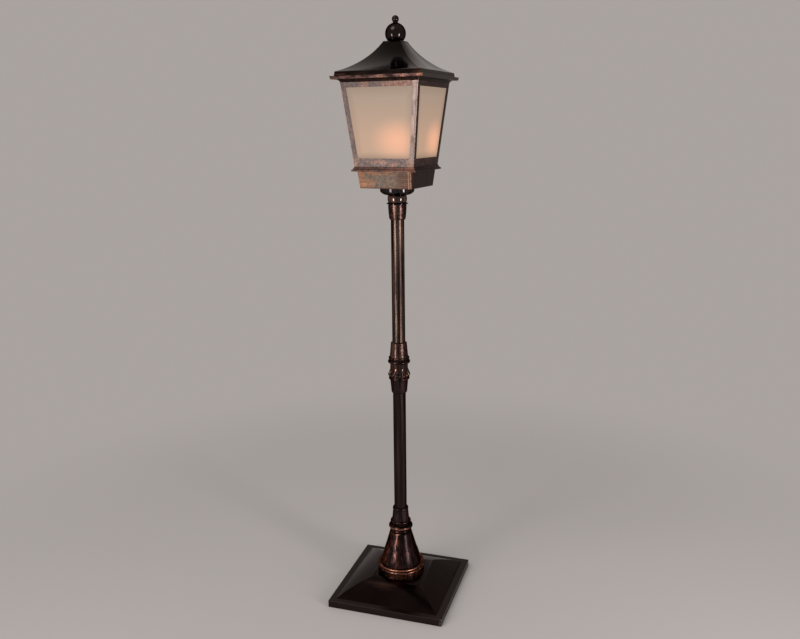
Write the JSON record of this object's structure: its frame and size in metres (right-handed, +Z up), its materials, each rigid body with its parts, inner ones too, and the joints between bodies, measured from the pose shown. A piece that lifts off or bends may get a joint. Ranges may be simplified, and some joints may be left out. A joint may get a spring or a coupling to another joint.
{
  "type": "lantern floor lamp",
  "caption": "Floor lamp with a four-sided frosted-glass lantern and lift-off hipped roof on a slim turned pole over a weighted square base.",
  "frame": {"origin": "on the floor under the middle of the square base", "axes": "+Z up along the pole; -Y is the front of the base, +Y the side with the cord bushing; the lantern head stands 6.2 degrees clockwise of the base seen from above"},
  "size_m": [0.352, 0.3538, 1.7],
  "materials": {
    "felt": "black needle felt glued under the cover",
    "cover_board": "thin painted steel sheet",
    "base_bronze": "dark antique bronze lacquer on pressed steel, satin gloss",
    "ballast": "rough cast iron",
    "zinc_steel": "zinc-plated steel fittings",
    "bushing_plastic": "moulded black nylon",
    "lead_sheath": "brown flexible lead",
    "cast_bronze": "cast fittings, dark bronze lacquer rubbed through to copper on the high rings",
    "tube_bronze": "steel tube, dark bronze lacquer with copper streaks, glossy",
    "lantern_copper": "sheet metal, mottled antique copper and grey, fine brushing",
    "roof_bronze": "sheet metal, near-black bronze lacquer, copper worn on the eave edges",
    "frosted_glass": "frosted beige glass",
    "socket_brass": "brass cup and arm",
    "socket_shell": "black phenolic socket",
    "bulb_glass": "inside-frosted bulb glass",
    "bulb_cap": "screw cap of the bulb"
  },
  "bodies": {
    "root": {"base_felt": "felt", "base_cover": "cover_board", "base_pan": "base_bronze", "base_weight": "ballast", "base_nut": "zinc_steel", "cord_bushing": "bushing_plastic", "base_pipe": "zinc_steel", "inner_lead": "lead_sheath", "foot_ring": "cast_bronze", "pedestal_cone": "tube_bronze", "pedestal_collar": "cast_bronze", "lower_ferrule": "cast_bronze", "lower_tube": "tube_bronze", "lower_tube_insert": "zinc_steel", "lower_tube_plug": "zinc_steel", "middle_pipe": "zinc_steel", "lower_collar": "cast_bronze", "lower_bead": "cast_bronze", "fluted_boss": "cast_bronze", "coupling_ring": "cast_bronze", "upper_collar": "cast_bronze", "upper_tube": "tube_bronze", "upper_tube_insert": "zinc_steel", "upper_tube_plug": "zinc_steel", "top_ferrule": "cast_bronze", "neck_ring": "cast_bronze", "neck_barrel": "cast_bronze", "lantern_cup": "cast_bronze", "top_pipe": "zinc_steel", "top_nut": "zinc_steel", "lantern_box": "lantern_copper", "drip_ledge": "lantern_copper", "frame_front": "lantern_copper", "frame_right": "lantern_copper", "frame_back": "lantern_copper", "frame_left": "lantern_copper", "glass_front": "frosted_glass", "glass_right": "frosted_glass", "glass_back": "frosted_glass", "glass_left": "frosted_glass", "corner_clips": "socket_brass", "crown_moulding": "lantern_copper", "socket_can": "socket_brass", "socket_can_lid": "socket_brass", "socket_arms": "socket_brass", "socket_cup_a": "socket_brass", "socket_cup_b": "socket_brass", "socket_shell_a": "socket_shell", "socket_shell_b": "socket_shell", "finial_rod": "zinc_steel"},
    "roof": {"eave_plate": "roof_bronze", "roof_lugs": "zinc_steel", "roof_shell": "roof_bronze"},
    "finial": {"finial_ball": "roof_bronze", "finial_tip": "roof_bronze"},
    "bulb_a": {"bulb_cap_a": "bulb_cap", "bulb_glass_a": "bulb_glass"},
    "bulb_b": {"bulb_cap_b": "bulb_cap", "bulb_glass_b": "bulb_glass"}
  },
  "joints": [
    {"name": "roof_lift", "type": "slide", "parent": "root", "child": "roof", "axis": [0, 0, 1], "range_m": [0, 0.15]},
    {"name": "finial_turn", "type": "hinge", "parent": "roof", "child": "finial", "pos_m": [0, 0, 1.654], "axis": [0, 0, 1], "continuous": true},
    {"name": "bulb_a_turn", "type": "hinge", "parent": "root", "child": "bulb_a", "pos_m": [0.04208, 0.03384, 1.316], "axis": [0, 0, 1], "continuous": true},
    {"name": "bulb_b_turn", "type": "hinge", "parent": "root", "child": "bulb_b", "pos_m": [-0.04208, -0.03384, 1.316], "axis": [0, 0, 1], "continuous": true}
  ]
}
